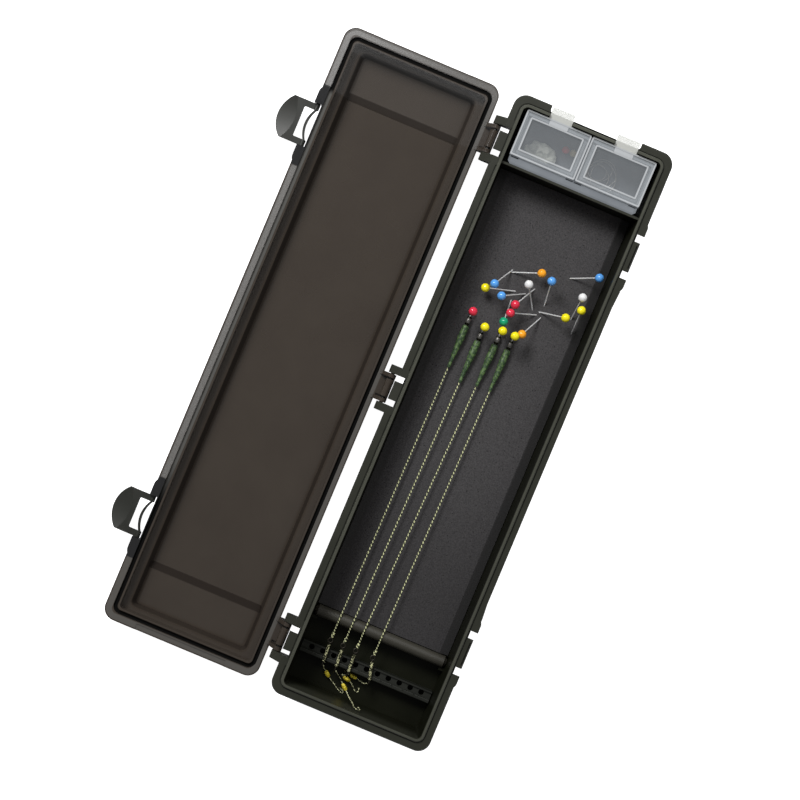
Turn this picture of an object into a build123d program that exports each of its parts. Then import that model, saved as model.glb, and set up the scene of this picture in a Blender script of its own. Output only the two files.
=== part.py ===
from build123d import *
from math import asin, atan2, cos, degrees, hypot, pi, radians, sin, tan
import os

# A rig box for fishing tackle, lying open. Millimetres. The origin is the centre of the tub's underside,
# +X points away from the hinge, +Y along the tub towards the small tackle box, +Z up.

# Tub
tub_length = 360.0
tub_width = 95.0
tub_height = 32.0  # underside to the flange's top face, where the lid meets it
flange_thickness = 2.2
flange_side_reach = 3.5  # flange beyond the wall, along the sides
flange_end_reach = 3.8
flange_corner = 7.3
flange_edge_chamfer = 0.7
flange_waist = 0.7  # the flange is this much narrower between the catches
wall = 2.7
floor = 2.0
wall_draft = 3.0  # degrees
foot_round = 2.0
inner_corner = 3.0
lip_height = 1.5
lip_width = 1.6
lip_chamfer = 0.5
gutter_width = 0.8  # groove beside the lip
gutter_depth = 0.6
cut = 1.0  # overrun of every cutting tool
wire_sides = 6
turned_sides = 12
ball_sections = 8

# Notch for the tackle box's tabs in the flange at the +Y end
notch_side_gap = 0.8  # notch beyond the outer edge of each lifting tab
notch_corner = 1.5

# Dividing wall
divider_thickness = 1.3
divider_inset = 39.6  # tub's end to the middle of the wall
divider_drop = 1.0  # top of the wall below the flange's top face

# Hinges
hinge_inset = 29.5  # tub's end to the middle of the last hinge
axis_beyond_flange = 3.7  # hinge axis outboard of the flange's edge
hinge_span = 26.6  # over both arms
arm_width = 4.6
arm_end_radius = 2.6
arm_root_height = 9.5
arm_root_depth = 3.0
tab_width = 10.6
tab_reach = 1.1
hinge_pin_diameter = 2.3
clip_web = 4.0  # width of the web that carries the lid's clip
press_gap = 0.01
running_gap = 0.05
window_gap = 0.4  # between moving parts of the hinge, along Y
loop_width = 2.2
loop_end_radius = 2.4
loop_root_height = 3.0
block_width = 10.0

# Lid, given as it lies when shut
lid_height = 17.1
rim_gap = 0.3  # between the rim and the tub's flange
lid_hinge_step = 1.2  # the lid's edge on the hinge side inside the tub's
lid_flange_height = 5.0
lid_edge_round = 1.4
lid_panel = 2.0  # thickness of the walls and of the top
lid_lip_width = 1.0
lid_lip_gap = 0.4  # between the tub's lip and the lid's inner lip
seal_groove_width = 2.4
seal_groove_depth = 3.2
seal_thickness = 1.7
seal_side_gap = 0.1
shoulder_depth = 7.0  # rim to the inside of the shoulder
shoulder_width = 4.4  # inner lip to the plateau's wall, at the sides
shoulder_end_width = 2.4
plateau_corner = 3.5
plateau_slope = 2.2  # how far the plateau's wall draws in
step_height = 2.0  # end panels below the main panel
step_inset = 38.0  # tub's end to where the step begins
step_run = 4.2
rim_recess_depth = 0.5

# Latches
latch_inset = 60.6  # tub's end to the middle of a latch
latch_width = 25.0
latch_reach = 19.4  # pivot to tip
latch_arm = 3.5
latch_thickness = 2.2
latch_window_reach = 6.5  # pivot to the near edge of the thumb tab
latch_straight = 13.9  # pivot to the end of the tab's straight sides
latch_flare = 3.6  # how far the tip of the tab stands away from the lid's edge
latch_bend = 8.5  # pivot to where the tab's back begins to curve
scoop_start = 9.0  # pivot to the crease of the thumb's hollow, on the middle line
scoop_radius = 68.0
bow_bulge = 2.5
bow_thickness = 1.4
bow_height = 1.6
pivot_inset = 1.3  # pivot inside the lid's edge
pivot_rise = 3.7  # pivot above the rim
pivot_diameter = 2.4
pivot_stub = 2.1
root_radius = 1.6
ear_length = 11.5
ear_proud = 0.9
ear_radius = 3.0
ear_gap = 0.3
latch_relief = 3.6  # depth of the cut between the ears

# Catches
catch_length = 17.3
catch_gap = 4.4
catch_slot_length = 13.5
catch_slot_width = 0.7
catch_slot_depth = 1.2
catch_slot_inset = 0.8
swell_length = 8.5
swell_proud = 0.7

# Foam, bar and rack
foam_thickness = 8.0
foam_gap = 0.3
foam_bevel_width = 5.5  # bevel along the two long edges
foam_bevel_depth = 3.0
bar_diameter = 6.8
bar_inset = 49.4  # tub's end to the middle of the bar
bar_rise = 0.9  # middle of the bar above the foam's top face
bar_end_gap = 0.25
bar_end_chamfer = 1.6
cradle_width = 3.0
cradle_wall = 1.8
rack_inset = 25.1  # tub's end to the middle of the ridge
rack_ridge_width = 2.4
rack_ridge_height = 8.2
rack_rail_step = 5.4  # middle of the ridge to the middle of the rail
rack_rail_width = 0.9
rack_rail_height = 7.6
rack_plate_thickness = 1.2
rack_plate_height = 6.6
rack_hole_diameter = 3.2
rack_holes = 11
rack_end = 5.9  # end of the rack to the middle of the last hole
rack_tick_width = 0.9
rack_tick_depth = 0.5

# Pins
head_diameter = 5.0
needle_diameter = 0.8
needle_length = 22.0  # middle of the head to the tip
needle_buried = 4.0
rig_pin_buried = 7.0
needle_point = 1.6
hole_gap = 0.05

# Rigs
ring_radius = 1.7
ring_wire = 0.8
rig_rise = 2.2  # line of the rig above the foam, at its pin
swivel_length = 6.6
swivel_barrel = 2.8
swivel_neck = 1.2
sleeve_length = 25.5
sleeve_diameter = 4.0
sleeve_tail = 1.5
sleeve_mouth = 0.5  # how much thinner than its middle the sleeve is at its mouth
hooklink_diameter = 0.8
cord_gap = 0.05
hook_wire = 0.9
hook_eye_step = 10.9  # middle of the ridge to the middle of a hook's eye
hook_gape = 4.8
hook_bend_gap = 0.8
hook_rise = 1.0  # shank above the rack's ridge
hook_eye_gap = 0.1
hair_diameter = 0.6
bait_length = 3.6
bait_diameter = 3.0
bait_bore_gap = 0.2
cord_arc_share = 0.45  # of the shorter run, taken by each arc

# Small tackle box with two lids
tray_side_gap = 1.3  # between the tackle box and the tub's wall, at the box's foot
tray_inset = 8.5  # tub's end to the box's front
tray_depth = 25.9
tray_wall = 1.2
tray_seat_gap = 0.1
tray_drop = 1.0  # the small lids' top face below the flange's top face
tray_ledge = 4.4
tray_ledge_height = 6.0
ledge_step = 0.3  # top of the ledge below the hinge axis of the small lids
ledge_chamfer = 1.6
tray_corner = 1.5
small_lid_thickness = 1.0
small_lid_overhang = 0.4
small_lid_front = 1.4
small_lid_gap = 0.3  # half of the gap between the two lids
hinge_line_gap = 0.15
hinge_slot_length = 4.4
hinge_slot_width = 0.6
hinge_slot_inset = 0.9
hinge_gate_share = 0.64  # of the box's half width
ridge_width = 0.9
ridge_height = 0.5
ridge_inset = 3.4
plug_depth = 2.2
plug_gap = 0.25
lift_tab_width = 13.3
lift_tab_reach = 6.7
lift_tab_thickness = 0.9
lift_tab_gap = 0.25
pad_width = 11.0
pad_length = 3.3
pad_height = 0.3

# What lies in the tackle box
bead_diameter = 4.4
line_diameter = 0.5
hank_inner_radius = 4.5
hank_side_gap = 3.0
hank_step = 1.1
hank_turns = 5
hank_samples = 24  # points on each half turn, at which the gap between turns is measured
bag_length = 20.0
bag_width = 12.0
bag_height = 7.0

# Derived places
half_length = tub_length / 2
half_width = tub_width / 2
flange_under = tub_height - flange_thickness
wall_x = half_width - flange_side_reach
wall_y = half_length - flange_end_reach
cavity_x = wall_x - wall
cavity_y = wall_y - wall
rim_z = tub_height + rim_gap
axis_x = -(half_width + axis_beyond_flange)
axis_z = (rim_z + lid_height) / 2
hinge_places = [hinge_inset - half_length, 0, half_length - hinge_inset]
latch_spacing = half_length - latch_inset
latch_places = [-latch_spacing, latch_spacing]
divider_place = half_length - divider_inset
bar_place = bar_inset - half_length
rack_place = rack_inset - half_length
hook_eye_place = rack_place + hook_eye_step
tray_front = half_length - tray_inset
tray_back = tray_front - tray_depth
foam_top = floor + foam_thickness
bar_z = foam_top + bar_rise
foam_end = bar_place + bar_diameter / 2 + foam_gap
foam_start = divider_place - divider_thickness / 2 - foam_gap
foam_middle = (foam_start + foam_end) / 2
foam_half_length = (foam_start - foam_end) / 2
small_lid_top = tub_height - tray_drop


def slab(half_x, half_y, radius, low, high):
    """An upright block with rounded corners."""
    return Pos(0, 0, low) * extrude(RectangleRounded(2 * half_x, 2 * half_y, radius), high - low)


def drafted(half_x, half_y, radius, top, bottom, angle=wall_draft):
    """A block whose outline is given at top and draws in towards bottom."""
    face = Pos(0, 0, top) * RectangleRounded(2 * half_x, 2 * half_y, radius)
    way = (0, 0, 1) if bottom > top else (0, 0, -1)
    return extrude(face, abs(bottom - top), dir=way, taper=angle)


def block(x0, x1, y0, y1, z0, z1):
    """A plain block between two corners."""
    return Pos((x0 + x1) / 2, (y0 + y1) / 2, (z0 + z1) / 2) * Box(abs(x1 - x0), abs(y1 - y0), abs(z1 - z0))


def wire_section(radius):
    """The six-sided section of every thin wire, needle and cord."""
    return RegularPolygon(radius, wire_sides)


def turned(stations):
    """A small round piece: a ruled loft through many-sided sections, each given by its height and radius."""
    return loft([Pos(0, 0, z) * RegularPolygon(radius, turned_sides) for z, radius in stations], ruled=True)


def wire_ring(radius, wire):
    """An eye of bent wire, flattened."""
    outer = RegularPolygon(radius + wire / 2, turned_sides)
    inner = RegularPolygon(radius - wire / 2, turned_sides)
    return extrude(outer - inner, wire / 2, both=True)


def wire_along(path, diameter, name):
    """A wire along a path, with its length and its volume against that of a straight one printed."""
    section = Plane(path @ 0, z_dir=path % 0) * wire_section(diameter / 2)
    wire = sweep(section, path)
    print(f"{name}: length {path.length:.1f}, volume ratio {wire.volume / (path.length * section.area):.4f}")
    return wire


def ball(radius):
    """A ball, with a small flat at each pole."""
    angles = [pi * (i + 1 / 2) / ball_sections for i in range(ball_sections)]
    return turned([(-radius * cos(angle), radius * sin(angle)) for angle in angles])


def rod(start, end, radius):
    """A round rod between two points."""
    way = Vector(*end) - Vector(*start)
    return extrude(Plane(Vector(*start), z_dir=way) * Circle(radius), way.length)


def ear_plate(radius, x0, x1, z0, z1, y0, y1, x=0.0, z=0.0):
    """A flat ear that runs from a round end about (x, z) to a root block, between y0 and y1."""
    plane = Plane((0, y0, 0), x_dir=(1, 0, 0), z_dir=(0, -1, 0))
    disc = Pos(x, z) * Circle(radius)
    root = Pos((x0 + x1) / 2, (z0 + z1) / 2) * Rectangle(abs(x1 - x0), abs(z1 - z0))
    outline = make_hull(disc.edges() + root.edges())
    return extrude(plane * outline, y1 - y0, dir=(0, 1, 0))


def cavity(gap=0.0):
    """The tub's drafted hollow, drawn in by a gap, up to the flange's top face."""
    return drafted(cavity_x - gap, cavity_y - gap, inner_corner, tub_height, floor)


def around_cavity(grow, low, high):
    """An upright block that stands out from the mouth of the tub's hollow all round."""
    return slab(cavity_x + grow, cavity_y + grow, inner_corner + grow, low, high)


def cavity_half_width(z):
    return cavity_x - (tub_height - z) * tan(radians(wall_draft))


def turned_open(shape):
    """Turns a lid piece from its shut place to the open one."""
    return Pos(axis_x, 0, axis_z) * Rot(0, 180, 0) * Pos(-axis_x, 0, -axis_z) * shape


def tub_flange():
    flange = slab(half_width, half_length, flange_corner, flange_under, tub_height)
    flange = chamfer(flange.edges().group_by(Axis.Z)[-1], flange_edge_chamfer)
    inner_end = latch_spacing - catch_length / 2 - catch_gap - swell_length
    waist = Polyline(
        (half_width + cut, -inner_end),
        (half_width, -inner_end),
        (half_width - flange_waist, -inner_end + swell_length),
        (half_width - flange_waist, inner_end - swell_length),
        (half_width, inner_end),
        (half_width + cut, inner_end),
        close=True,
    )
    flange -= Pos(0, 0, flange_under - cut) * extrude(make_face(waist), flange_thickness + 2 * cut)
    return flange


def swell(near, far):
    """The rounded swelling of the flange beside a catch, from its near end to its far end."""
    way = 1 if far > near else -1
    middle = near + way * swell_length / 2
    proud = half_width + swell_proud
    outline = (
        Polyline(
            (half_width - flange_waist, far),
            (wall_x, far),
            (wall_x, near),
            (proud, near),
            (proud, middle),
        )
        + Spline(
            (proud, middle),
            (half_width - flange_waist, far),
            tangents=[(0, way), (-flange_waist, 2 * way * swell_length / 2)],
        )
    )
    return Pos(0, 0, flange_under) * extrude(make_face(outline), flange_thickness)


def base_tub():
    body = drafted(wall_x, wall_y, flange_corner - flange_side_reach, tub_height, 0)
    body = fillet(body.edges().group_by(Axis.Z)[0], foot_round)
    body += tub_flange()
    gutter_floor = tub_height - gutter_depth
    body -= around_cavity(lip_width + gutter_width, gutter_floor, tub_height + cut) - around_cavity(
        lip_width, gutter_floor, tub_height + cut
    )
    lip = around_cavity(lip_width, tub_height, tub_height + lip_height)
    body += chamfer(lip.edges().group_by(Axis.Z)[-1], lip_chamfer)
    hollow = cavity() + around_cavity(0, tub_height, tub_height + lip_height + cut)
    divider = block(
        -wall_x, wall_x, divider_place - divider_thickness / 2, divider_place + divider_thickness / 2,
        floor, tub_height - divider_drop,
    ) & cavity()
    cradles = [cradle(side) for side in (-1, 1)]
    body = body - hollow + divider + cradles
    for place in hinge_places:
        body = body - hinge_windows(place) + hinge_arms(place) - pin_bore(place, press_gap)
    for place in latch_places:
        body = catch(body, place)
    body -= end_notch()
    return body


def cradle(side):
    """A saddle at the foot of a side wall, which carries one end of the bar."""
    outer = cavity_half_width(floor) + wall / 2
    inner = cavity_half_width(bar_z) - cradle_width
    reach = bar_diameter / 2 + cradle_wall
    saddle = block(side * inner, side * outer, bar_place - reach, bar_place + bar_diameter / 2, floor, bar_z)
    seat = rod((-half_width, bar_place, bar_z), (half_width, bar_place, bar_z), bar_diameter / 2 + hole_gap)
    return saddle - seat


def hinge_windows(place):
    """The openings that the lid's loops pass through, and the flange's edge beside the tab."""
    inner = hinge_span / 2 - arm_width
    slots = [
        block(-half_width - cut, -wall_x, place + a, place + b, flange_under - cut, tub_height + cut)
        for a, b in ((tab_width / 2, inner), (-inner, -tab_width / 2))
    ]
    return slots


def hinge_arms(place):
    """Two arms that hold the hinge pin, and the short tab between them."""
    outer = hinge_span / 2
    inner = outer - arm_width
    root = -wall_x
    arms = [
        ear_plate(
            arm_end_radius, root - arm_root_depth, root + wall / 2, tub_height - arm_root_height, tub_height,
            place + a, place + b, axis_x, axis_z,
        )
        for a, b in ((inner, outer), (-outer, -inner))
    ]
    tab = block(
        -half_width - tab_reach, -half_width + flange_side_reach,
        place - tab_width / 2, place + tab_width / 2, flange_under, tub_height,
    )
    arms = [arm - cavity() for arm in arms]
    return arms + [tab]


def catch(body, place):
    """Cuts the two gaps beside a catch and its slot, and adds the swellings beyond them."""
    near = catch_length / 2
    far = near + catch_gap
    for way in (-1, 1):
        body += swell(place + way * far, place + way * (far + swell_length))
    for way in (-1, 1):
        body -= block(
            wall_x, half_width + swell_proud + cut, place + way * near, place + way * far,
            flange_under - cut, tub_height + cut,
        )
    slot_x = half_width - catch_slot_inset - catch_slot_width
    body -= block(
        slot_x, slot_x + catch_slot_width, place - catch_slot_length / 2, place + catch_slot_length / 2,
        tub_height - catch_slot_depth, tub_height + cut,
    )
    return body


def end_notch():
    """The notch in the end flange and the two slots in the lip for the lifting tabs."""
    notch = slab(notch_width / 2, flange_end_reach + cut, notch_corner, flange_under - cut, tub_height + cut)
    tools = [Pos(0, half_length + cut, 0) * notch]
    slot = lift_tab_width / 2 + lift_tab_gap + running_gap
    for side in (-1, 1):
        middle = side * lift_tab_place
        tools.append(
            block(
                middle - slot, middle + slot, cavity_y - cut, half_length + cut,
                small_lid_top - small_lid_thickness / 2 - lift_tab_gap, tub_height + lip_height + cut,
            )
        )
    return tools


def hinge_rod(place, half, radius):
    """A round rod along a hinge's axis, to half its length on each side of the hinge's middle."""
    return rod((axis_x, place - half, axis_z), (axis_x, place + half, axis_z), radius)


def pin_bore(place, gap):
    return hinge_rod(place, hinge_span, hinge_pin_diameter / 2 + gap)


def hinge_pins():
    return [hinge_rod(place, hinge_span / 2, hinge_pin_diameter / 2) for place in hinge_places]


# Lid, in its shut place
lip_x = cavity_x - lid_lip_gap  # outer face of the lid's inner lip
lip_y = cavity_y - lid_lip_gap
lip_corner = inner_corner - lid_lip_gap
lid_hinge_reach = half_width - lid_hinge_step
lid_latch_reach = half_width
lid_step_place = half_length - step_inset
lid_in_x = lip_x - lid_lip_width
lid_in_y = lip_y - lid_lip_width
lid_top = rim_z + lid_height
shoulder_z = rim_z + shoulder_depth
plateau_x = lid_in_x - shoulder_width
plateau_y = lid_in_y - shoulder_end_width
groove_x = lip_x + seal_groove_width
groove_y = lip_y + seal_groove_width
groove_corner = lip_corner + seal_groove_width
pivot_x = lid_latch_reach - pivot_inset
pivot_z = rim_z + pivot_rise


def lid_plateau(grow):
    """The raised middle of the lid: grow is how far its skin lies outside the inner surface."""
    rise = lid_top - lid_panel - shoulder_z
    angle = degrees(atan2(plateau_slope, rise))
    top = lid_top - lid_panel + grow
    shape = drafted(plateau_x + grow, plateau_y + grow, plateau_corner + grow, shoulder_z - cut, top, angle)
    low = top - step_height
    profile = Polyline(
        (-half_length, shoulder_z - cut),
        (-half_length, low),
        (-lid_step_place - step_run, low),
        (-lid_step_place, top),
        (lid_step_place, top),
        (lid_step_place + step_run, low),
        (half_length, low),
        (half_length, shoulder_z - cut),
        close=True,
    )
    plane = Plane((-half_width, 0, 0), x_dir=(0, 1, 0), z_dir=(1, 0, 0))
    return shape & extrude(plane * make_face(profile), tub_width)


def lid_shell():
    width = lid_hinge_reach + lid_latch_reach
    flange = Pos((lid_latch_reach - lid_hinge_reach) / 2, 0, 0) * slab(
        width / 2, half_length, flange_corner, rim_z, rim_z + lid_flange_height
    )
    flange = fillet(flange.edges().group_by(Axis.Z)[-1], lid_edge_round)
    shoulder = drafted(
        lid_in_x + lid_panel, lid_in_y + lid_panel, lip_corner + lid_panel / 2,
        rim_z + lid_flange_height - cut, shoulder_z + lid_panel,
    )
    shoulder = chamfer(shoulder.edges().group_by(Axis.Z)[-1], lid_edge_round / 2)
    body = flange + shoulder + lid_plateau(lid_panel)
    body -= drafted(lid_in_x, lid_in_y, lip_corner, rim_z - cut, shoulder_z)
    body -= lid_plateau(0)
    body -= slab(groove_x, groove_y, groove_corner, rim_z - cut, rim_z + seal_groove_depth) - slab(
        lip_x, lip_y, lip_corner, rim_z - cut, rim_z + seal_groove_depth
    )
    for side in (-1, 1):
        body -= block(
            -notch_width / 2, notch_width / 2, side * (groove_y + lid_lip_width), side * (half_length + cut),
            rim_z - cut, rim_z + rim_recess_depth,
        )
    for place in hinge_places:
        body += hinge_knuckles(place)
    for place in latch_places:
        body = latch_ears(body, place)
    for place in hinge_places:
        body -= pin_bore(place, running_gap)
    return turned_open(body)


def hinge_knuckles(place):
    """The lid's half of a hinge: two loops and a wide clip round the pin, and the block that carries them."""
    outer = hinge_span / 2 - arm_width - window_gap
    end = axis_x - loop_end_radius
    root = -groove_x - lid_lip_width
    top = rim_z + loop_root_height
    near = place - block_width / 2
    far = place + block_width / 2
    loops = [
        ear_plate(loop_end_radius, end, root, rim_z, top, place + a, place + b, axis_x, axis_z)
        for a, b in ((outer - loop_width, outer), (-outer, -outer + loop_width))
    ]
    clip = hinge_rod(place, block_width / 2, loop_end_radius)
    clip += block(end, end + clip_web, near, far, axis_z, top)
    bridge = block(end, root, near, far, rim_z, top)
    web = block(end, root, place - outer, place + outer, top - loop_root_height / 2, top)
    return loops + [clip, bridge, web]


def latch_ears(body, place):
    """Cuts the lid's flange away for a latch and adds the two ears that carry its pivot."""
    half = latch_width / 2 + ear_gap
    edge = lid_latch_reach
    body -= block(
        edge - latch_relief, edge + cut, place - half, place + half,
        rim_z - cut, rim_z + lid_flange_height + cut,
    )
    for way in (-1, 1):
        near = place + way * half
        far = near + way * ear_length
        inner = groove_x
        outer = edge + ear_proud
        bend = near + way * (ear_length - (outer - inner))
        outline = (
            Line((outer, bend), (outer, near))
            + Line((outer, near), (inner, near))
            + Line((inner, near), (inner, far))
            + RadiusArc((inner, far), (outer, bend), way * (outer - inner))
        )
        tall = pivot_rise + ear_radius
        ear = Pos(0, 0, rim_z) * extrude(make_face(outline), tall)
        ear = chamfer(ear.edges().filter_by(Axis.Y).group_by(Axis.Z)[-1].sort_by(Axis.X)[-1], ear_radius / 2)
        body += ear
        body -= rod(
            (pivot_x, near - way * cut, pivot_z), (pivot_x, near + way * (pivot_stub + running_gap), pivot_z),
            pivot_diameter / 2 + running_gap,
        )
    return body


def lid_seal():
    outer = slab(
        groove_x - seal_side_gap, groove_y - seal_side_gap, groove_corner - seal_side_gap,
        rim_z + seal_groove_depth - seal_thickness, rim_z + seal_groove_depth,
    )
    inner = slab(
        lip_x + seal_side_gap, lip_y + seal_side_gap, lip_corner + seal_side_gap,
        rim_z, rim_z + seal_groove_depth + cut,
    )
    return turned_open(outer - inner)


def latch(place):
    """A snap latch, lying open: the thumb tab, two arms, the springy bow between them and two pivot stubs."""
    x = 2 * axis_x - pivot_x
    z = 2 * axis_z - pivot_z
    half = latch_width / 2
    under = -latch_thickness / 2
    over = latch_thickness / 2
    plan = (
        Polyline(
            (-latch_straight, half), (root_radius, half), (root_radius, -half), (-latch_straight, -half)
        )
        + ThreePointArc((-latch_straight, -half), (-latch_reach, 0), (-latch_straight, half))
    )
    tip = -latch_reach - cut
    bend_middle = -(latch_bend + latch_reach) / 2
    side = (
        Polyline((tip, over), (root_radius, over), (root_radius, under), (-latch_bend, under))
        + ThreePointArc(
            (-latch_bend, under), (bend_middle, under - latch_flare / 3), (tip, under - latch_flare)
        )
        + Line((tip, under - latch_flare), (tip, over))
    )
    side_plane = Plane((0, half, 0), x_dir=(1, 0, 0), z_dir=(0, -1, 0))
    shape = Pos(0, 0, -latch_reach) * extrude(make_face(plan), 2 * latch_reach)
    shape &= extrude(side_plane * make_face(side), latch_width)
    slope = Vector(-(latch_reach - scoop_start), 0, -latch_flare).normalized()
    normal = Vector(slope.Z, 0, -slope.X)
    scoop_middle = Vector(-scoop_start, 0, over) + normal * scoop_radius
    shape -= extrude(Plane(scoop_middle, z_dir=slope) * Circle(scoop_radius), latch_reach, both=True)
    inside = half - latch_arm
    window = slab(latch_window_reach / 2 + cut, inside, root_radius / 2, -latch_thickness, latch_thickness)
    shape -= Pos(-latch_window_reach / 2 + cut, 0, 0) * window
    shape = round_roots(shape, half, inside)
    shape += bow(inside)
    for way in (-1, 1):
        shape += rod((0, way * half, 0), (0, way * (half + pivot_stub), 0), pivot_diameter / 2)
    return Pos(x, place, z) * shape


def round_roots(shape, half, inside):
    """Rounds the pivot ends of the two arms."""
    shape -= block(0, 2 * root_radius, -half, half, -latch_thickness, latch_thickness)
    for way in (-1, 1):
        shape += rod((0, way * inside, 0), (0, way * half, 0), root_radius)
    return shape


def bow(inside):
    """The springy bar that bulges towards the thumb tab."""
    near = root_radius - bow_thickness / 2
    far = near - bow_thickness
    outline = (
        ThreePointArc((near, -inside), (near - bow_bulge, 0), (near, inside))
        + Line((near, inside), (far, inside))
        + ThreePointArc((far, inside), (far - bow_bulge, 0), (far, -inside))
        + Line((far, -inside), (near, -inside))
    )
    return Pos(0, 0, -bow_height / 2) * extrude(make_face(outline), bow_height)


# Pins in the foam: share of the foam's half width, share of its half length from its middle, the way the
# head points in plan, and the needle's lean from flat, in degrees
rig_pin_shares = [(-0.588, 0.388), (-0.348, 0.346), (-0.098, 0.360), (0.090, 0.360)]
spare_pin_shares = {
    "orange": [(-0.274, 0.611, 19, 27), (0.340, 0.476, -117, 37)],
    "blue": [
        (0.324, 0.534, 99, 42), (0.526, 0.683, 22, 33), (-0.290, 0.618, -120, 42), (0.008, 0.547, -151, 39),
    ],
    "yellow": [(-0.150, 0.540, -163, 22), (0.834, 0.470, 93, 43), (0.300, 0.500, 8, 38)],
    "white": [(0.190, 0.499, 125, 40), (0.750, 0.524, 88, 45)],
    "red": [(0.104, 0.580, -119, 36), (0.262, 0.482, -160, 34)],
    "green": [(-0.138, 0.498, -89, 43)],
}


def foam_point(share_x, share_y):
    half = cavity_half_width(foam_top) - foam_gap
    return share_x * half, foam_middle + share_y * foam_half_length


def pin_ends(share_x, share_y, bearing, lean):
    """The tip and the middle of the head of a pin that leans out of the foam."""
    x, y = foam_point(share_x, share_y)
    flat = cos(radians(lean))
    way = Vector(flat * cos(radians(bearing)), flat * sin(radians(bearing)), sin(radians(lean)))
    tip = Vector(x, y, foam_top) - way * needle_buried
    return tip, tip + way * needle_length


def needle(tip, head):
    """A needle with a drawn-out point, from its tip to the middle of its head."""
    radius = needle_diameter / 2
    way = (head - tip).normalized()
    full = Plane(tip + way * needle_point, z_dir=way)
    point = loft([Plane(tip, z_dir=way) * wire_section(radius / 4), full * wire_section(radius)])
    return point + extrude(full * wire_section(radius), (head - tip).length - needle_point)


def pin_head(tip, middle):
    """A ball head, bored for its needle."""
    return Plane(middle, z_dir=middle - tip) * ball(head_diameter / 2) - needle(tip, middle)


def rig_pin(index):
    """The needle and the head of an upright pin that holds a rig."""
    x, y = foam_point(*rig_pin_shares[index])
    tip = Vector(x, y, foam_top - rig_pin_buried)
    top = tip + Vector(0, 0, needle_length)
    return [needle(tip, top), pin_head(tip, top)]


def foam_board():
    """The board, bevelled along its two sides, with a hole for each pin."""
    board = cavity(foam_gap) & block(-half_width, half_width, foam_end, foam_start, floor, foam_top)
    for edge in board.edges().filter_by(Axis.Y).group_by(Axis.Z)[-1]:
        face = board.faces().sort_by(Axis.Z)[-1]
        board = chamfer(edge, foam_bevel_width, foam_bevel_depth, reference=face)
    holes = []
    for pins in spare_pin_shares.values():
        for place in pins:
            tip, top = pin_ends(*place)
            holes.append(pin_hole(tip, top))
    for place in rig_pin_shares:
        x, y = foam_point(*place)
        holes.append(pin_hole(Vector(x, y, foam_top - rig_pin_buried), Vector(x, y, foam_top + cut)))
    return board - holes


def pin_hole(tip, top):
    way = (top - tip).normalized()
    section = Plane(tip - way * hole_gap, z_dir=way) * wire_section(needle_diameter / 2 + hole_gap)
    return extrude(section, (top - tip).length + hole_gap)


def rig_bar():
    half = cavity_half_width(bar_z) - bar_end_gap
    bar = rod((-half, bar_place, bar_z), (half, bar_place, bar_z), bar_diameter / 2)
    return chamfer(bar.edges().filter_by(GeomType.CIRCLE), bar_end_chamfer)


def hook_rack():
    """A channel across the tub: a thin rail, a row of holes and a thicker ridge for the hooks."""
    half = cavity_half_width(floor) - foam_gap
    front = rack_place + rack_rail_step + rack_rail_width / 2
    back = rack_place - rack_ridge_width / 2
    ridge = block(-half, half, back, back + rack_ridge_width, floor, floor + rack_ridge_height)
    ridge = fillet(ridge.edges().filter_by(Axis.X).group_by(Axis.Z)[-1], rack_ridge_width / 4)
    rail = block(-half, half, front - rack_rail_width, front, floor, floor + rack_rail_height)
    plate = block(
        -half, half, back, front, floor + rack_plate_height - rack_plate_thickness, floor + rack_plate_height
    )
    middle = (rack_place + rack_rail_step + rack_place + rack_ridge_width / 2) / 2
    pitch = 2 * (half - rack_end) / (rack_holes - 1)
    places = [(i - (rack_holes - 1) / 2) * pitch for i in range(rack_holes)]
    rack = ridge + rail + plate
    hole = extrude(Circle(rack_hole_diameter / 2), rack_rail_height)
    rack -= [Pos(x, middle, floor) * hole for x in places]
    top = floor + rack_ridge_height
    rack -= [
        block(
            x + pitch / 2 - rack_tick_width / 2, x + pitch / 2 + rack_tick_width / 2,
            back + rack_ridge_width / 2, back + rack_ridge_width + cut, top - rack_tick_depth, top + cut,
        )
        for x in places[:-1]
    ]
    return rack


# Rigs: where each hooklink crosses the bar, as a share of the tub's inner half width at the bar, and the
# way each hook points in plan, in degrees from straight along the tub
bar_shares = [-0.630, -0.435, -0.243, 0.015]
hook_turns = [4, 4, 3, 14]


def rig_line(index):
    """The start, the corner over the bar and the end of one rig's line."""
    x0, y0 = foam_point(*rig_pin_shares[index])
    x1 = bar_shares[index] * cavity_half_width(bar_z)
    z0 = foam_top + rig_rise
    z2 = floor + rack_ridge_height + hook_rise + hook_wire / 2
    reach = bar_diameter / 2 + cord_gap + hooklink_diameter / 2
    slope_in = tangent_slope(y0 - bar_place, bar_z - z0, reach)
    slope_out = tangent_slope(bar_place - hook_eye_place, bar_z - z2, reach)
    # the two tangents z = z0 + slope_in * (y0 - y) and z = z2 + slope_out * (y - hook_eye_place) meet here
    y1 = (z0 + slope_in * y0 - z2 + slope_out * hook_eye_place) / (slope_in + slope_out)
    z1 = z0 + slope_in * (y0 - y1)
    return Vector(x0, y0, z0), Vector(x1, y1, z1), Vector(x1, hook_eye_place, z2)


def tangent_slope(run, rise, radius):
    """The slope of the upper tangent from a point to a circle that lies run along and rise above it."""
    distance = hypot(run, rise)
    return tan(atan2(rise, run) + asin(radius / distance))


def along(index, distance):
    start, corner, _ = rig_line(index)
    return start + (corner - start).normalized() * distance


def swivel(index):
    """A ring round the pin and the barrel of a swivel."""
    start, corner, _ = rig_line(index)
    ring = Pos(*start) * wire_ring(ring_radius, ring_wire)
    way = corner - start
    neck = extrude(wire_section(swivel_neck / 2), swivel_length / 2)
    neck = Plane(along(index, ring_radius), z_dir=way) * neck
    barrel = Plane(along(index, ring_radius + swivel_length / 4), z_dir=way) * turned(
        [(0, swivel_barrel / 2), (swivel_length - swivel_length / 4, swivel_barrel / 2)]
    )
    return ring + neck + barrel


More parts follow.
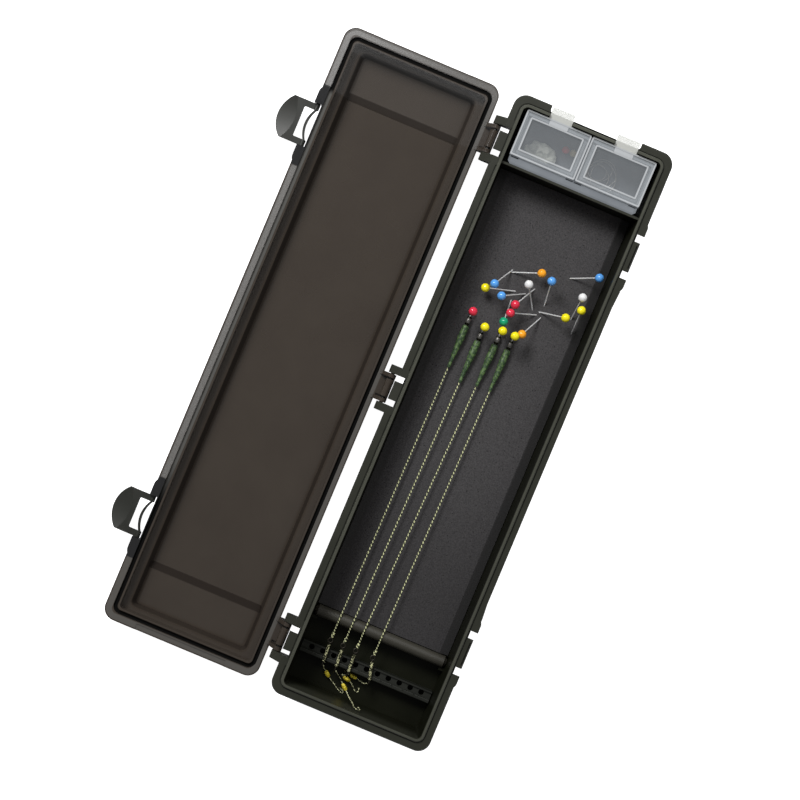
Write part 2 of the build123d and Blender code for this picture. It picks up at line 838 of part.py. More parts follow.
def sleeve(index):
    """A soft tapered sleeve over the swivel's end of the hooklink."""
    start, corner, _ = rig_line(index)
    begin = along(index, ring_radius + swivel_length)
    plane = Plane(begin, z_dir=corner - start)
    big = sleeve_diameter / 2
    bore = hooklink_diameter / 2 + cord_gap
    outside = turned([
        (0, big - sleeve_mouth),
        (sleeve_length / 4, big),
        (sleeve_length / 2, big - sleeve_mouth),
        (sleeve_length, sleeve_tail / 2),
    ])
    return plane * (outside - extrude(wire_section(bore), sleeve_length))


def hooklink(index):
    """A tight braided line from the swivel, over the bar, to a knot at the hook's eye."""
    start, corner, eye = rig_line(index)
    begin = along(index, ring_radius + swivel_length)
    way = (corner - eye).normalized()
    end = eye + way * (hook_ring_radius() + hook_wire / 2 + hook_eye_gap)
    radius = bar_diameter / 2 + cord_gap + hooklink_diameter / 2
    path = FilletPolyline(begin, corner, end, radius=[radius])
    knot = extrude(Plane(end, z_dir=way) * wire_section(hooklink_diameter), 2 * hooklink_diameter)
    return wire_along(path, hooklink_diameter, f"hooklink {index + 1}") + knot


def hook_ring_radius():
    """The radius of the middle line of a hook's eye."""
    return hooklink_diameter / 2 + hook_wire


def hook(index):
    """A hook whose bend goes round the rack's ridge, with its point against the ridge."""
    _, _, eye = rig_line(index)
    radius = hook_wire / 2
    ring_radius = hook_ring_radius()
    bend = eye.Y - (rack_place - rack_ridge_width / 2 - hook_bend_gap - radius)
    reach = bend / cos(radians(hook_turns[index]))
    bow = hook_gape / 2
    path = Line((ring_radius, 0, 0), (reach, 0, 0)) + ThreePointArc(
        (reach, 0, 0), (reach + bow, 0, -bow), (reach, 0, -hook_gape)
    )
    tip = reach - hook_bend_gap - radius + cord_gap
    point = loft([
        Plane((reach, 0, -hook_gape), z_dir=(-1, 0, 0)) * wire_section(radius),
        Plane((tip, 0, -hook_gape), z_dir=(-1, 0, 0)) * wire_section(radius / 4),
    ])
    shape = wire_ring(ring_radius, hook_wire) + wire_along(path, hook_wire, f"hook {index + 1}") + point
    return Pos(*eye) * Rot(0, 0, hook_turns[index] - 90) * shape


# The hairs, from the middle of each hook's eye: from the hook's bend to an end loop, nearly all on the floor
# behind the rack, and the run that the bait is threaded on
hair_routes = [
    (
        [
            (1.9, -14.6, -0.45), (2.5, -16.4, -3.25), (3.9, -17.4, -7.05), (7.9, -21.0, -8.05),
            (10.5, -22.4, -9.05), (14.7, -25.2, -9.25), (18.1, -26.6, -9.25), (18.7, -24.9, -9.25),
            (15.5, -24.1, -9.25),
        ],
        2,
    ),
    (
        [
            (1.9, -14.8, 0.25), (3.5, -16.6, -3.45), (6.3, -18.8, -7.25), (7.7, -20.6, -8.05),
            (12.3, -24.4, -7.85), (14.3, -26.0, -3.25), (16.3, -26.9, 2.35), (17.9, -27.3, 7.75),
            (18.1, -27.7, 13.35), (20.9, -27.9, 16.75), (22.9, -27.8, 13.15), (20.5, -27.4, 9.55),
        ],
        3,
    ),
    (
        [
            (-0.0, -14.8, 0.25), (-1.8, -15.6, -3.05), (-2.2, -16.4, -6.65), (-0.8, -17.0, -8.05),
            (4.2, -18.2, -8.05), (6.4, -20.0, -9.05), (8.8, -22.8, -9.25), (11.2, -22.0, -9.25),
            (10.2, -19.8, -9.25),
        ],
        3,
    ),
    (
        [
            (2.4, -14.4, 0.25), (1.6, -15.8, -3.25), (-0.0, -16.0, -6.65), (-3.2, -15.2, -7.95),
            (-8.0, -14.6, -7.95), (-10.4, -14.8, -8.85), (-11.8, -13.8, -9.25),
        ],
        3,
    ),
]
long_hair = 1  # the rig whose hair is the longest


def hair_points(index):
    eye = rig_line(index)[-1]
    return [eye + Vector(*point) for point in hair_routes[index][0]]


def hair(index):
    """A braided tag along straight runs joined by arcs as large as the runs allow, with its radii printed."""
    points = hair_points(index)
    runs = [b - a for a, b in zip(points, points[1:])]
    radii = [
        cord_arc_share * min(a.length, b.length) / tan(radians(a.get_angle(b) / 2))
        for a, b in zip(runs, runs[1:])
    ]
    print(f"hair {index + 1}: radii {[round(r, 1) for r in radii]}")
    return wire_along(FilletPolyline(*points, radius=radii), hair_diameter, f"hair {index + 1}")


def bait(index):
    """A soft bait in the shape of a barrel, bored for its hair."""
    points = hair_points(index)
    run = hair_routes[index][1]
    way = points[run + 1] - points[run]
    half = bait_length / 2
    bore = hair_diameter / 2 + bait_bore_gap
    full = bait_diameter / 2
    outside = turned([(-half, full / 2), (-half / 3, full), (half / 3, full), (half, full / 2)])
    return Plane(points[run] + way / 2, z_dir=way) * (outside - extrude(wire_section(bore), half, both=True))


tray_low = floor + tray_seat_gap
tray_half = cavity_half_width(tray_low) - tray_side_gap
pocket_half = (tray_half - tray_wall - tray_wall / 2) / 2
pocket_x = tray_wall / 2 + pocket_half  # middle of a compartment from the tub's middle
lift_tab_place = (small_lid_gap + tray_half + small_lid_overhang) / 2  # middle of a tab from the tub's middle
notch_width = 2 * lift_tab_place + lift_tab_width + 2 * notch_side_gap
tray_middle = (tray_front + tray_back) / 2
bead_radius = small_lid_thickness / 2
lid_axis_y = tray_back + hinge_line_gap + bead_radius
lid_axis_z = small_lid_top - bead_radius
hinge_slots = [
    side * place
    for side in (-1, 1)
    for place in (small_lid_gap + hinge_slot_length / 2, tray_half - hinge_slot_inset - hinge_slot_length / 2)
]


def small_tray():
    """The tackle box's body: two compartments and the ledge that its lids are hinged on."""
    half = tray_half
    top = small_lid_top - small_lid_thickness - tray_seat_gap
    outer = Pos(0, tray_middle, 0) * slab(half, tray_depth / 2, tray_corner, tray_low, top)
    pockets = [
        Pos(side * pocket_x, tray_middle, 0)
        * slab(pocket_half, tray_depth / 2 - tray_wall, tray_corner / 2, tray_low + tray_wall, top + cut)
        for side in (-1, 1)
    ]
    ledge_back = tray_back - tray_ledge
    ledge_top = lid_axis_z - ledge_step
    ledge = block(-half, half, ledge_back, tray_back, ledge_top - tray_ledge_height, ledge_top)
    ledge -= block(
        -half + tray_wall, half - tray_wall, ledge_back + tray_wall, tray_back,
        ledge_top - tray_ledge_height - cut, ledge_top - tray_wall,
    )
    ledge = chamfer(ledge.edges().filter_by(Axis.Z).group_by(Axis.Y)[0], ledge_chamfer)
    end = half + cut
    channel = rod((-end, lid_axis_y, lid_axis_z), (end, lid_axis_y, lid_axis_z), bead_radius + hinge_line_gap)
    slots = [
        block(
            x - hinge_slot_length / 2, x + hinge_slot_length / 2, tray_back - hinge_slot_width, tray_back,
            ledge_top - tray_ledge_height, ledge_top + cut,
        )
        for x in hinge_slots
    ]
    gates = [
        Pos(side * hinge_gate_share * half, tray_back - hinge_slot_width, ledge_top)
        * Cylinder(hinge_slot_width, ridge_height / 2)
        for side in (-1, 1)
    ]
    return outer - pockets + (ledge + gates - slots - channel)


def small_lid(side):
    """One of the two lids, with its hinge bead, its ridges, the plug under it and its lifting tab."""
    near = small_lid_gap
    far = tray_half + small_lid_overhang
    front = tray_front + small_lid_front
    low = small_lid_top - small_lid_thickness
    half_x = (far - near) / 2
    half_y = (front - lid_axis_y) / 2
    centre = Pos(side * (near + far) / 2, (front + lid_axis_y) / 2, 0)
    plate = block(side * near, side * far, lid_axis_y, front, low, small_lid_top)
    plate = fillet(plate.edges().filter_by(Axis.Z).group_by(Axis.Y)[-1], tray_corner / 2)
    plate += rod((side * near, lid_axis_y, lid_axis_z), (side * far, lid_axis_y, lid_axis_z), bead_radius)
    plate -= [
        block(
            x - hinge_slot_length / 2, x + hinge_slot_length / 2, lid_axis_y - 2 * bead_radius,
            lid_axis_y - bead_radius + hinge_slot_width, low - cut, small_lid_top + cut,
        )
        for x in hinge_slots
    ]
    ridges = []
    ridge_top = small_lid_top + ridge_height
    for inset in (0, ridge_inset):
        outer = slab(half_x - inset, half_y - inset, tray_corner / 2, small_lid_top, ridge_top)
        inner = slab(
            half_x - inset - ridge_width, half_y - inset - ridge_width, tray_corner / 4, small_lid_top,
            ridge_top + cut,
        )
        ridges.append(centre * (outer - inner))
    tab_middle = side * lift_tab_place
    pad_half = pad_width / 2
    ridges[1] -= block(
        tab_middle - pad_half, tab_middle + pad_half, front - ridge_inset - ridge_width - cut, front,
        small_lid_top, small_lid_top + cut,
    )
    plug_x = pocket_half - plug_gap
    plug_y = tray_depth / 2 - tray_wall - plug_gap
    plug = slab(plug_x, plug_y, tray_corner / 4, low - plug_depth, low) - slab(
        plug_x - tray_wall, plug_y - tray_wall, tray_corner / 8, low - plug_depth, low
    )
    plug = Pos(side * pocket_x, tray_middle, 0) * plug
    bottom = small_lid_top - bead_radius
    tab_half = lift_tab_width / 2
    tab = block(
        tab_middle - tab_half, tab_middle + tab_half, front - ridge_width, front + lift_tab_reach,
        bottom, bottom + lift_tab_thickness,
    )
    tab = fillet(tab.edges().filter_by(Axis.Z).group_by(Axis.Y)[-1], tray_corner / 2)
    pad = block(
        tab_middle - pad_half, tab_middle + pad_half,
        front - ridge_inset - pad_length / 4, front - ridge_width, small_lid_top, small_lid_top + pad_height,
    )
    return plate + ridges + plug + tab + pad


def beads():
    """Two round beads that lie on the left compartment's floor."""
    radius = bead_diameter / 2
    low = tray_low + tray_wall + radius
    y = tray_front - tray_wall - radius - bead_diameter
    x = -pocket_x + pocket_half - bead_diameter
    return [Pos(x - i * (bead_diameter + foam_gap), y, low) * ball(radius) for i in (1, 0)]


def bait_bag():
    """A small soft bag of bait on the left compartment's floor."""
    low = tray_low + tray_wall
    body = Pos(-pocket_x - bag_width / 4, tray_middle - bag_width / 6, low + bag_height / 2) * Box(
        bag_length, bag_width, bag_height
    )
    body = fillet(body.edges().filter_by(Axis.Z), bag_width / 3)
    return fillet(body.edges().group_by(Axis.Z)[-1] + body.edges().group_by(Axis.Z)[0], bag_height / 3)


def line_hank():
    """A flat hank of line: half turns whose centres change sides, so that each turn lies outside the last."""
    low = tray_low + tray_wall + line_diameter / 2
    centre = pocket_x - pocket_half + hank_side_gap + hank_inner_radius + hank_turns * hank_step
    radius = hank_inner_radius
    path = None
    points = []
    for turn in range(2 * hank_turns):
        way = 1 if turn % 2 == 0 else -1
        arc = ThreePointArc(
            (centre + way * radius, tray_middle, low),
            (centre, tray_middle + way * radius, low),
            (centre - way * radius, tray_middle, low),
        )
        path = arc if path is None else path + arc
        points += [arc @ (i / hank_samples) for i in range(hank_samples)]
        centre += way * hank_step / 2
        radius += hank_step / 2
    nearest = min((a - b).length for i, a in enumerate(points) for b in points[i + hank_samples :])
    print(f"hank: least gap {nearest - line_diameter:.2f}")
    return wire_along(path, line_diameter, "hank")


def main():
    os.makedirs("parts", exist_ok=True)
    rigs = range(len(rig_pin_shares))
    nodes = {
        "base_tub": base_tub(),
        "hinge_pins": hinge_pins(),
        "foam_board": foam_board(),
        "rig_bar": rig_bar(),
        "hook_rack": hook_rack(),
        "lid_shell": lid_shell(),
        "lid_seal": lid_seal(),
        "front_latch": latch(-latch_spacing),
        "rear_latch": latch(latch_spacing),
        "small_tray": small_tray(),
        "small_lid_left": small_lid(-1),
        "small_lid_right": small_lid(1),
        "bait_bag": bait_bag(),
        "bead_red": beads()[0],
        "bead_cream": beads()[1],
        "line_hank": line_hank(),
        "swivels": [swivel(i) for i in rigs],
        "sleeves": [sleeve(i) for i in rigs],
        "hooklinks": [hooklink(i) for i in rigs],
        "hooks": [hook(i) for i in rigs],
        "short_hairs": [hair(i) for i in rigs if i != long_hair],
        "long_hair": hair(long_hair),
        "hook_baits": [bait(i) for i in rigs if i != long_hair],
        "long_hair_bait": bait(long_hair),
        "spare_needles": [needle(*pin_ends(*pin)) for pins in spare_pin_shares.values() for pin in pins],
    }
    for index in rigs:
        nodes[f"rig_pin_{index + 1}"] = rig_pin(index)
    for colour, pins in spare_pin_shares.items():
        nodes[f"spare_heads_{colour}"] = [pin_head(*pin_ends(*pin)) for pin in pins]
    for name, shape in nodes.items():
        pieces = shape if isinstance(shape, list) else [shape]
        solids = [solid for piece in pieces for solid in piece.solids()]
        export_step(Compound(children=solids), f"parts/{name}.step")


main()
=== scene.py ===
import math

import bpy
from mathutils import Matrix, Vector


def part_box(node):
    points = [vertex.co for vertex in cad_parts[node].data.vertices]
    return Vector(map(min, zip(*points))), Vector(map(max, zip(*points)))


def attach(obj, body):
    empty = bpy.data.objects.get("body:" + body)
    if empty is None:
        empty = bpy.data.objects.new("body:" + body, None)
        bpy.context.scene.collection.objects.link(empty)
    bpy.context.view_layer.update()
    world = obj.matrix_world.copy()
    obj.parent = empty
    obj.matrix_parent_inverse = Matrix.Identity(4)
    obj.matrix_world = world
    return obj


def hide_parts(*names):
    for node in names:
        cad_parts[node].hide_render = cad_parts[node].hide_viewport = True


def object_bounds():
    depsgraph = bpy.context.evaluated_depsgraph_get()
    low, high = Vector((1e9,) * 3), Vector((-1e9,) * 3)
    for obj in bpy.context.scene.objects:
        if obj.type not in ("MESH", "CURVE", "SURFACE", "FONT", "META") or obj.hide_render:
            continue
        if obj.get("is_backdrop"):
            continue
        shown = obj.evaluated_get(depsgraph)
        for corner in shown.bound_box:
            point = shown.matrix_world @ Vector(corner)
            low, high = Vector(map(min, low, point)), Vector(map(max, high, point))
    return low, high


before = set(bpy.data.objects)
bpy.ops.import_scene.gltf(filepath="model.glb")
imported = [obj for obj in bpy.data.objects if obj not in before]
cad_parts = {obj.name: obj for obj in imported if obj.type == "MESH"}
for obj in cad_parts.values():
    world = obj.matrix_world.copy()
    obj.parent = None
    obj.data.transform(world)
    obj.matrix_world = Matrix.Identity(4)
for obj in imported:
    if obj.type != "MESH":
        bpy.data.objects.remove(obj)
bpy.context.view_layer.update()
bpy.ops.object.select_all(action="DESELECT")

mm = 0.001  # the file's sizes are written in millimetres and drawn in metres


# Camera

# It looks down from about 1.1 m and almost upright, with the box turned in its frame, as in the photograph
bpy.ops.object.camera_add(location=(-56.8 * mm, 0.1 * mm, 1136.2 * mm))
camera = bpy.context.object
camera.rotation_euler = (math.radians(-0.47), math.radians(-0.64), math.radians(22.79))
camera.data.lens = 89.64
bpy.context.scene.camera = camera
bpy.context.scene.view_settings.view_transform = "Standard"


# Materials

# The size of the soft patches of tone in moulded plastic, and of the fine texture that its mould leaves,
# which is drawn a little coarser than it is so that it shows
mould_patch = 14.0
mould_texture = 0.35
mould_relief = 0.02


def hex_colour(text):
    """The linear colour of an sRGB hex value."""
    shares = [int(text[i:i + 2], 16) / 255 for i in (1, 3, 5)]
    return [s / 12.92 if s <= 0.04045 else ((s + 0.055) / 1.055) ** 2.4 for s in shares] + [1.0]


def new_material(name):
    """A node material with nothing in it yet."""
    made = bpy.data.materials.new(name)
    made.use_nodes = True
    made.node_tree.nodes.clear()
    return made


def node(material, kind, settings, inputs):
    """Adds a shader node with its settings; an input takes a value, or the socket that feeds it."""
    made = material.node_tree.nodes.new(kind)
    for name, value in settings.items():
        setattr(made, name, value)
    for name, value in inputs.items():
        if isinstance(value, bpy.types.NodeSocket):
            material.node_tree.links.new(value, made.inputs[name])
        else:
            made.inputs[name].default_value = value
    return made


def dress(material, *nodes):
    """Puts a material on CAD nodes, by name."""
    for name in nodes:
        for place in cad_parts[name].material_slots:
            place.material = material


def grain(material, size, detail=3.0):
    """Fine noise over the object, with grains of about this many millimetres, as a factor."""
    place = node(material, "ShaderNodeTexCoord", {}, {})
    noise = node(material, "ShaderNodeTexNoise", {}, {
        "Vector": place.outputs["Object"], "Scale": 1 / (size * mm), "Detail": detail, "Roughness": 0.55,
    })
    return noise.outputs["Fac"]


def place_along(material, axis):
    """Where a point lies along X, Y or Z of the part."""
    place = node(material, "ShaderNodeTexCoord", {}, {})
    return node(material, "ShaderNodeSeparateXYZ", {}, {"Vector": place.outputs["Object"]}).outputs[axis]


def beyond(material, outline):
    """How far a point lies outside a rounded rectangle seen from above, or up to a corner's radius inside."""
    middle, half_width, half_length, corner = outline
    vector = node(material, "ShaderNodeTexCoord", {}, {}).outputs["Object"]
    any_height = 1000
    for operation, amounts in (
        ("SUBTRACT", (middle, 0, 0)), ("ABSOLUTE", (0, 0, 0)),
        ("SUBTRACT", (half_width - corner, half_length - corner, any_height)), ("MAXIMUM", (0, 0, 0)),
    ):
        vector = node(material, "ShaderNodeVectorMath", {"operation": operation}, {
            0: vector, 1: [a * mm for a in amounts],
        }).outputs["Vector"]
    length = node(material, "ShaderNodeVectorMath", {"operation": "LENGTH"}, {0: vector}).outputs["Value"]
    return combined(material, "SUBTRACT", length, corner * mm)


def combined(material, operation, first, *others):
    """Masks or levels put together in turn: MULTIPLY is where all hold, and MAXIMUM is where any does."""
    for other in others:
        both = node(material, "ShaderNodeMath", {"operation": operation}, {0: first, 1: other})
        first = both.outputs["Value"]
    return first


def within(material, length, *fades):
    """The mask of where a length is past all of these fades, each given as its start and end."""
    return combined(material, "MULTIPLY", *[
        node(material, "ShaderNodeMapRange", {"interpolation_type": "SMOOTHSTEP"}, {
            "Value": length, "From Min": start * mm, "From Max": end * mm,
        }).outputs["Result"]
        for start, end in fades
    ])


def layered(material, base, *layers):
    """A colour or a level, with others laid over it, each as far as its mask says.

    Colours are hex values or sockets, and levels are numbers or sockets."""
    coloured = isinstance(base, str) or getattr(base, "type", "VALUE") == "RGBA"
    # a Mix node's sockets for colours and for levels have the same names, so they go by number
    data_type, under, result = ("RGBA", 6, 2) if coloured else ("FLOAT", 2, 0)
    for mask, over in layers:
        pair = [hex_colour(c) if isinstance(c, str) else c for c in (base, over)]
        base = node(material, "ShaderNodeMix", {"data_type": data_type}, {
            "Factor": mask, under: pair[0], under + 1: pair[1],
        }).outputs[result]
    return base


def surfaced(material, colour, roughness, height, relief, specular=0.5, **shader):
    """Ends a material: its colour and gloss on the shader, and the relief of its surface."""
    bump = node(material, "ShaderNodeBump", {}, {"Height": height, "Distance": relief * mm, "Strength": 0.6})
    surface = node(material, "ShaderNodeBsdfPrincipled", {}, {
        "Base Color": colour, "Roughness": roughness, "Normal": bump.outputs["Normal"],
        "Specular IOR Level": specular, **shader,
    })
    node(material, "ShaderNodeOutputMaterial", {}, {"Surface": surface.outputs["BSDF"]})
    return material


def moulded(name, low, high, roughness, patch=mould_patch, relief=mould_relief, **shader):
    """Moulded plastic: two close tones in soft patches, a fine texture, and a gloss that varies a little."""
    made = new_material(name)
    patches = grain(made, patch)
    tone = layered(made, low, (patches, high))
    gloss = layered(made, roughness * 0.85, (patches, roughness * 1.15))
    return surfaced(made, tone, gloss, grain(made, mould_texture), relief, **shader)


def flecked(name, dark, pale, fleck_size, share, roughness, relief):
    """A dark braid, rubber or bait with pale flecks of about this size, more of them for a larger share."""
    made = new_material(name)
    noise = grain(made, fleck_size, 1.0)
    start = 0.62 - 0.25 * share  # the height of the noise at which a fleck begins
    fleck = node(made, "ShaderNodeMapRange", {}, {
        "Value": noise, "From Min": start, "From Max": start + 0.06,
    })
    return surfaced(made, layered(made, dark, (fleck.outputs["Result"], pale)), roughness, noise, relief)


# Satin black-green polypropylene: paler on the outside and flange, palest along the top of the inner lip,
# which is a painted highlight, and nearly black and dull inside the tub, which is painted shade from its
# walls
wall_x, wall_y, wall_shade_fade = 42.6, 172.4, 0.8  # half the width and length between the walls
flange_shade_fade = (29.5, 31.0)
lip_highlight_fade = (32.4, 33.0)
tub = new_material("polypropylene_satin_moulded")
# outside the walls and above the flange, clear of the shade painted inside the tub
outside = combined(tub, "MAXIMUM", *[
    within(tub, place_along(tub, axis), fade)
    for axis, fade in (
        ("X", (wall_x, wall_x + wall_shade_fade)), ("X", (-wall_x, -wall_x - wall_shade_fade)),
        ("Y", (wall_y, wall_y + wall_shade_fade)), ("Y", (-wall_y, -wall_y - wall_shade_fade)), ("Z", flange_shade_fade),
    )
])
# the top of the lip, painted paler as a highlight
lip_highlight = within(tub, place_along(tub, "Z"), lip_highlight_fade)
patches = grain(tub, mould_patch)
unshaded_outer_tone = layered(tub, "#24251e", (patches, "#2f3028"))
lip_highlight_tone = layered(tub, "#3c3d34", (patches, "#494a41"))
surfaced(
    tub, layered(tub, "#101109", (patches, "#191a12"), (outside, unshaded_outer_tone), (lip_highlight, lip_highlight_tone)),
    layered(tub, 0.34, (patches, 0.42)), grain(tub, mould_texture), mould_relief,
    specular=layered(tub, 0.12, (outside, 0.42)),
)
dress(tub, "base_tub")
# The hinge pins are a blacker plastic of the same gloss. The rack is as black as the tub's inside, and duller
dress(moulded("polypropylene_black_moulded", "#0b0c08", "#15160f", 0.36), "hinge_pins")
dress(moulded("polypropylene_black_dull_moulded", "#0e100a", "#191b13", 0.55), "hook_rack")
# The bar's plastic is a little browner and paler than the tub's, with a duller gloss
dress(moulded("abs_grey_moulded", "#302e27", "#393730", 0.5), "rig_bar")
# The latches are dark grey, and their thin plastic lets a little light through
dress(
    moulded("polycarbonate_smoked_latch_moulded", "#1e1f1b", "#292a25", 0.4, relief=0.01, Alpha=0.96),
    "front_latch", "rear_latch",
)

# Moulded nitrile rubber: dull and black, with a painted grey highlight along the latches' side, where light
# catches the cord's round top, from the far latch nearly to the near one
seal = new_material("nitrile_seal_moulded")
# painted highlight along the latches' side
latch_side_highlight = combined(
    seal, "MULTIPLY", within(seal, place_along(seal, "X"), (-141.5, -142.5)),
    within(seal, place_along(seal, "Y"), (-110.0, -80.0), (143.0, 139.0)),
)
surfaced(
    seal, layered(seal, "#050505", (grain(seal, mould_patch), "#0a0a09"), (latch_side_highlight, "#5a5956")), 0.8,
    grain(seal, mould_texture), mould_relief, specular=0.1,
)
dress(seal, "lid_seal")

# Closed-cell EVA foam, cut with a knife: matt grey-black with fine speckles and a few open pits, with painted
# shade along its bevelled sides and a painted fall of light that darkens it towards the bar
foam_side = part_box("foam_board")[1][0] / mm - 5.5  # where the top ends and the bevel begins
foam = new_material("eva_foam_cut")
speckle = grain(foam, 0.7, 2.0)
pit_spacing = 2.6
pits = node(foam, "ShaderNodeTexVoronoi", {}, {
    "Vector": node(foam, "ShaderNodeTexCoord", {}, {}).outputs["Object"], "Scale": 1 / (pit_spacing * mm),
})
pit_rim = node(foam, "ShaderNodeMapRange", {}, {
    "Value": pits.outputs["Distance"], "From Min": 0.08, "From Max": 0.16,
})
# a painted fall of light: the foam's tone darkens towards the bar
light_falloff_from_bar = within(foam, place_along(foam, "Y"), (-120.0, 0.0))
# painted shade along the bevelled sides
right_side_shade = within(foam, place_along(foam, "X"), (foam_side - 0.3, foam_side + 1.5))
left_side_shade = within(foam, place_along(foam, "X"), (-foam_side + 0.3, -foam_side - 1.5))
shaded_near_tone = layered(foam, "#0f0e0f", (speckle, "#424041"))
lit_far_tone = layered(foam, "#141314", (speckle, "#545253"))
side_shade_tone = layered(foam, "#201f1f", (speckle, "#3c3b3b"))
top_tone = layered(foam, shaded_near_tone, (light_falloff_from_bar, lit_far_tone))
pitted = layered(foam, "#1c1b1c", (pit_rim.outputs["Result"], top_tone))
surfaced(foam, layered(foam, pitted, (right_side_shade, side_shade_tone), (left_side_shade, side_shade_tone)), 0.95, speckle, 0.1)
dress(foam, "foam_board")

# Smoked polycarbonate: a clear, glossy brown-black that lets a little of the table through, most in the thin
# bay at its far end, and a little more all over towards that end, which is painted light. It is paler round
# the edge, where the outer flange stands alone, and painted palest there at the latches' side and towards the
# far end, as if lit. It is darker on the slanted walls of the recess and of its two steps, partly where light
# takes a longer way through it and partly as painted shade, the near step most, and black at the latches'
# ears. The wall at the far end is painted clearer, as if lit. "cover" is the share of the light that it holds
# back
lid_outline = (-103.0, 46.9, 180.0, 7.3)  # its middle, half its width and length, and its corners' radius
recess_outline = (-102.4, 35.0, 169.2, 3.5)
lid_middle, lid_half_width = lid_outline[:2]
latch_edge = lid_middle - lid_half_width
step_start, step_end, step_fade = 142.0, 146.2, 0.3
latch_place = 119.4  # how far along the lid each latch is from its middle
ear_reach, ear_fade = 24.5, 0.6
smoked = new_material("polycarbonate_smoked_moulded")
across, along = place_along(smoked, "X"), place_along(smoked, "Y")
edge, recess = beyond(smoked, lid_outline), beyond(smoked, recess_outline)
# painted light: the lid holds back less of the table towards its far end, as if lit from there
far = within(smoked, along, (-170.0, 170.0))
bay = within(smoked, along, (step_start, step_start + 1.5))
smoke = layered(smoked, "#37302a", (grain(smoked, 30.0), "#413a33"))
cover = combined(
    smoked, "MULTIPLY", layered(smoked, 0.948, (far, 0.935)), layered(smoked, 1.0, (bay, 0.93)),
)

# the band runs from the seal's groove to the rounded edge
band = within(smoked, edge, (-4.4, -3.8), (-0.5, -1.0))
# painted light: the band is clearer still at the latches' side, as if lit there
lit_band_at_latches = combined(
    smoked, "MULTIPLY", within(smoked, across, (lid_middle + 40, lid_middle - 40)),
    within(smoked, along, (-latch_place - 4, -latch_place + 4)),
)
band_cover = combined(
    smoked, "MULTIPLY", layered(smoked, 0.98, (far, 0.915)), layered(smoked, 1.0, (lit_band_at_latches, 0.855)),
)
cover = combined(smoked, "MULTIPLY", cover, layered(smoked, 1.0, (band, band_cover)))

# the recess's walls slant over the 2 mm inside its outline, and a step crosses it at each end
slant_shade = combined(smoked, "MULTIPLY", within(smoked, recess, (-2.0, -1.5), (0.3, -0.2)), 0.5)
# painted shade on the steps, stronger on the near one than on the far
for way, strength in ((-1, 0.85), (1, 0.5)):
    step = within(
        smoked, along, (way * (step_start - step_fade), way * (step_start + step_fade)),
        (way * (step_end + step_fade), way * (step_end - step_fade)),
    )
    step = combined(smoked, "MULTIPLY", step, within(smoked, recess, (-0.2, -1.0)), strength)
    slant_shade = combined(smoked, "MAXIMUM", slant_shade, step)
# the slants are painted darker and held a little less clear, partly as painted shade
cover = layered(smoked, cover, (slant_shade, 0.975))

# painted light: the wall at the far end is made clearer, so paler, as if lit
end_wall_lit = combined(
    smoked, "MULTIPLY", within(smoked, along, (166.5, 168.0)), within(smoked, edge, (-4.4, -5.0)),
)
cover = combined(smoked, "MULTIPLY", cover, layered(smoked, 1.0, (end_wall_lit, 0.955)))

ears = combined(smoked, "MAXIMUM", *[
    within(
        smoked, along,
        (place + ear_reach, place + ear_reach - ear_fade), (place - ear_reach, place - ear_reach + ear_fade),
    )
    for place in (latch_place, -latch_place)
])
ears = combined(smoked, "MULTIPLY", ears, within(smoked, across, (latch_edge + 4.6, latch_edge + 4.2)))
# the ears too are painted a little clearer towards the far end, as painted light
cover = layered(smoked, cover, (ears, layered(smoked, 0.978, (far, 0.95))))

# the recess's small facets have no gloss, since each of them would show as a spark
facets = within(smoked, recess, (-3.5, -2.5), (1.5, 0.8))
surfaced(
    smoked, layered(smoked, smoke, (band, "#55524e"), (slant_shade, "#221d1a"), (ears, "#232324")), 0.18,
    grain(smoked, 0.8), 0.004, Alpha=cover,
    specular=layered(smoked, 0.5, (combined(smoked, "MAXIMUM", slant_shade, facets), 0.0)),
)
dress(smoked, "lid_shell")

# Unpigmented polypropylene: see-through in the thin flat of each small lid, milky in the border between its
# two ridges, and nearly white where a ridge, an edge or the lifting tab doubles its thickness
border_width, tab_reach, border_fade = 4.3, 6.7, 0.2
for name in ("small_lid_left", "small_lid_right"):
    low, high = [[c / mm for c in corner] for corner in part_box(name)]
    front = high[1] - tab_reach
    clear_lid = new_material(f"polypropylene_clear_moulded_{name}")
    border = combined(clear_lid, "MAXIMUM", *[
        within(clear_lid, place_along(clear_lid, axis), (side, side + outward * border_fade))
        for axis, side, outward in (
            ("X", low[0] + border_width, -1), ("X", high[0] - border_width, 1),
            ("Y", low[1] + border_width, -1), ("Y", front - border_width, 1),
        )
    ])
    ridges = within(clear_lid, place_along(clear_lid, "Z"), (high[2] - 0.45, high[2] - 0.35))
    tab = within(clear_lid, place_along(clear_lid, "Y"), (front - 0.4, front + 0.2))
    milk = combined(clear_lid, "MAXIMUM", *[
        layered(clear_lid, 0.14, (mask, most)) for mask, most in ((border, 0.33), (ridges, 0.56), (tab, 0.6))
    ])
    tone = layered(
        clear_lid, "#b4bac0", (grain(clear_lid, 9.0), "#c6cbcf"), (ridges, "#d6d9dc"), (tab, "#d0d1cc"),
    )
    surfaced(clear_lid, tone, 0.3, grain(clear_lid, 0.5), 0.006, Alpha=milk)
    dress(clear_lid, name)
# The tray is the same plastic, milkier all over because its walls are thicker
dress(
    moulded("polypropylene_clear_tray_moulded", "#858a90", "#9a9fa5", 0.3, relief=0.006, Alpha=0.55),
    "small_tray",
)

# Water-soluble film, blown thin: milky, soft in tone, and half see-through
bag_film = moulded("pva_film_blown", "#b9bbb0", "#dadbd0", 0.3, patch=2.5, relief=0.03, Alpha=0.85)
# Moulded acrylic: one even colour under a wet gloss
bead_red = moulded("acrylic_red_moulded", "#d81a28", "#ea3040", 0.12, relief=0.004)
bead_cream = moulded("acrylic_cream_moulded", "#d8c08c", "#e8d4a4", 0.14, relief=0.004)
